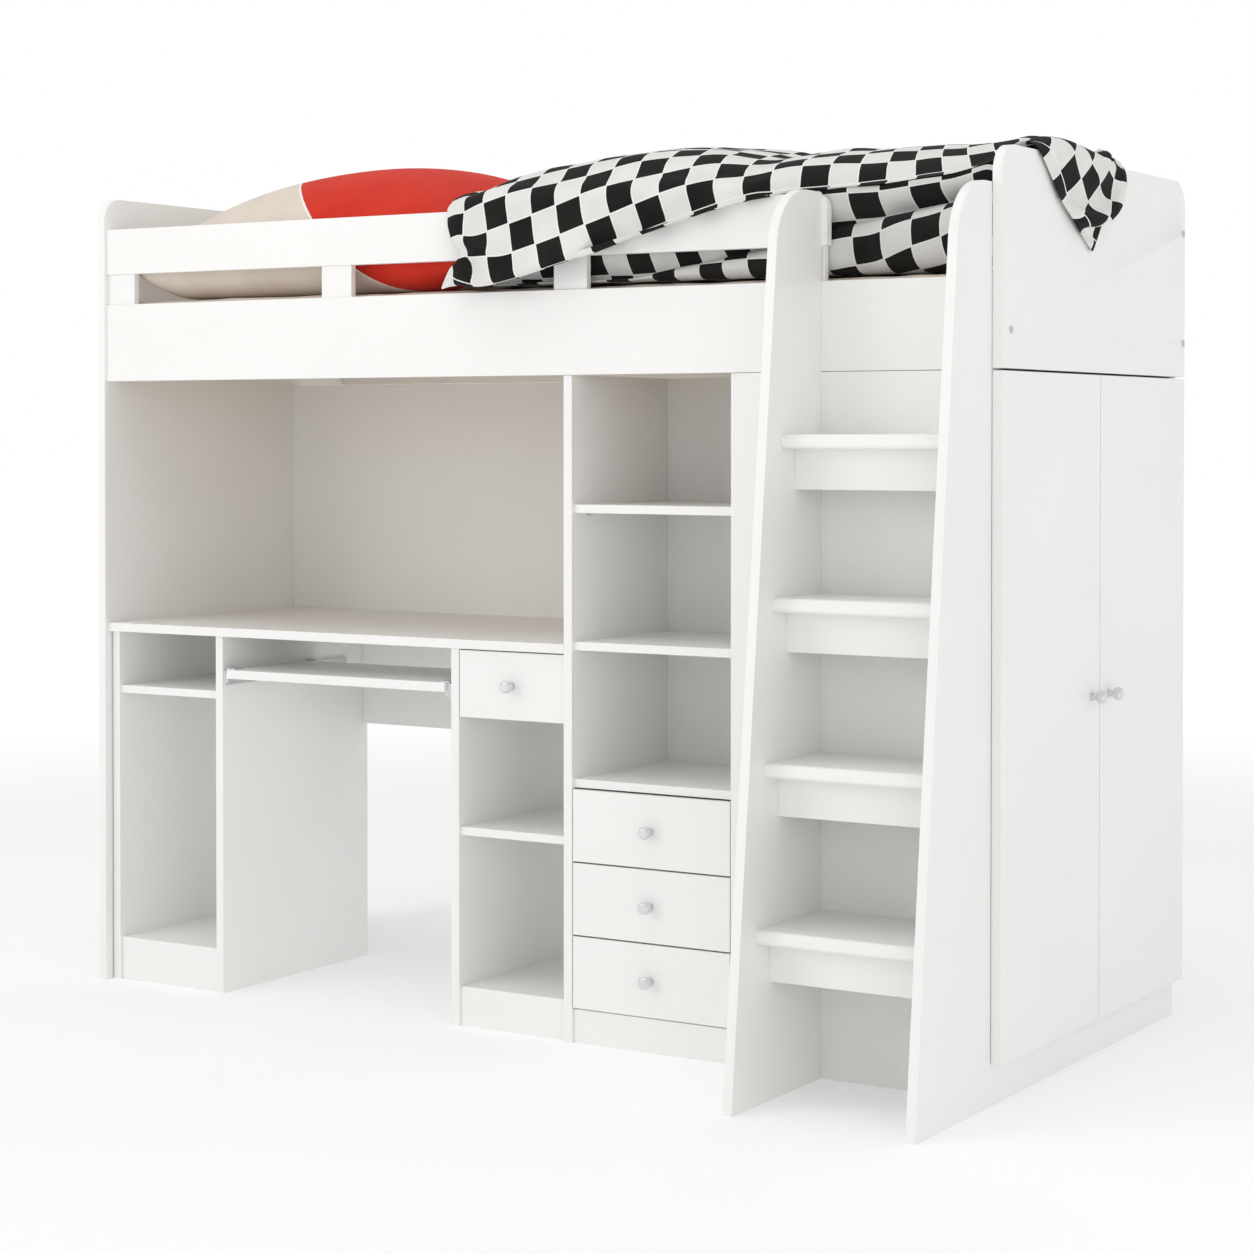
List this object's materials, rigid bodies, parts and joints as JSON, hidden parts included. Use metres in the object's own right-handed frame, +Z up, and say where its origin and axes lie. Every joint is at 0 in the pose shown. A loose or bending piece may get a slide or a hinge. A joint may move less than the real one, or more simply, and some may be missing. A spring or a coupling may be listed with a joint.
{
  "type": "loft bed with desk",
  "caption": "High sleeper with a desk, keyboard tray, bookcase, drawers and a wardrobe under the bed, and a stepped ladder at one end.",
  "frame": {"origin": "on the floor, at the middle of the object's overall length and depth", "axes": "+X along the bed to the wardrobe doors, +Y to the back, +Z up"},
  "size_m": [2.0686, 1.156, 1.6885],
  "materials": {
    "white_board": "white melamine-faced board, satin",
    "zinc_steel": "zinc-plated",
    "knob_metal": "satin light grey",
    "rail_tube": "polished",
    "pine": "unfinished pine",
    "sheet_fabric": "beige cotton",
    "pillow_fabric": "beige and red cotton",
    "duvet_fabric": "black and white check cotton"
  },
  "bodies": {
    "bed_frame": {"left_end_panel": "white_board", "right_end_panel": "white_board", "front_rail": "white_board", "rear_rail": "white_board", "front_guard_rail": "white_board", "rear_guard_rail": "white_board", "guard_rail_blocks": "white_board", "slat_battens": "white_board", "bed_slats": "pine", "rail_bolts": "zinc_steel", "mattress": "sheet_fabric", "pillow": "pillow_fabric", "duvet": "duvet_fabric", "desktop": "white_board", "desk_back_panel": "white_board", "pedestal_outer_side": "white_board", "pedestal_inner_side": "white_board", "drawer_pedestal_side": "white_board", "pedestal_shelves": "white_board", "pedestal_bottoms": "white_board", "modesty_panel": "white_board", "bookcase_left_side": "white_board", "bookcase_right_side": "white_board", "bookcase_back": "white_board", "bookcase_loose_shelves": "white_board", "bookcase_fixed_shelf": "white_board", "shelf_pins": "zinc_steel", "plinth_boards": "white_board", "slide_runners": "zinc_steel", "wardrobe_front_wall": "white_board", "wardrobe_corner_stile": "white_board", "wardrobe_back_wall": "white_board", "wardrobe_top": "white_board", "wardrobe_bottom": "white_board", "clothes_rail": "rail_tube", "hinge_arms": "zinc_steel", "ladder_left_side": "white_board", "ladder_right_side": "white_board", "ladder_steps": "white_board", "ladder_risers": "white_board"},
    "keyboard_tray_body": {"keyboard_tray": "white_board", "tray_slides": "zinc_steel"},
    "desk_drawer": {"desk_drawer_front": "white_board", "desk_drawer_box": "white_board", "desk_drawer_knob": "knob_metal"},
    "low_drawer": {"low_drawer_front": "white_board", "low_drawer_box": "white_board", "low_drawer_knob": "knob_metal"},
    "middle_drawer": {"middle_drawer_front": "white_board", "middle_drawer_box": "white_board", "middle_drawer_knob": "knob_metal"},
    "top_drawer": {"top_drawer_front": "white_board", "top_drawer_box": "white_board", "top_drawer_knob": "knob_metal"},
    "front_wardrobe_door": {"front_door": "white_board", "front_door_knob": "knob_metal", "front_hinge_cups": "zinc_steel"},
    "rear_wardrobe_door": {"rear_door": "white_board", "rear_door_knob": "knob_metal", "rear_hinge_cups": "zinc_steel"}
  },
  "joints": [
    {"name": "keyboard_tray_slide", "type": "slide", "parent": "bed_frame", "child": "keyboard_tray_body", "axis": [0, -1, 0], "range_m": [0, 0.22]},
    {"name": "desk_drawer_slide", "type": "slide", "parent": "bed_frame", "child": "desk_drawer", "axis": [0, -1, 0], "range_m": [0, 0.3]},
    {"name": "low_drawer_slide", "type": "slide", "parent": "bed_frame", "child": "low_drawer", "axis": [0, -1, 0], "range_m": [0, 0.22]},
    {"name": "middle_drawer_slide", "type": "slide", "parent": "bed_frame", "child": "middle_drawer", "axis": [0, -1, 0], "range_m": [0, 0.22]},
    {"name": "top_drawer_slide", "type": "slide", "parent": "bed_frame", "child": "top_drawer", "axis": [0, -1, 0], "range_m": [0, 0.22]},
    {"name": "front_door_hinge", "type": "hinge", "parent": "bed_frame", "child": "front_wardrobe_door", "pos_m": [1.00725, -0.287, 0.655], "axis": [0, 0, -1], "range_deg": [0, 95]},
    {"name": "rear_door_hinge", "type": "hinge", "parent": "bed_frame", "child": "rear_wardrobe_door", "pos_m": [1.00725, 0.578, 0.655], "axis": [0, 0, 1], "range_deg": [0, 95]}
  ]
}
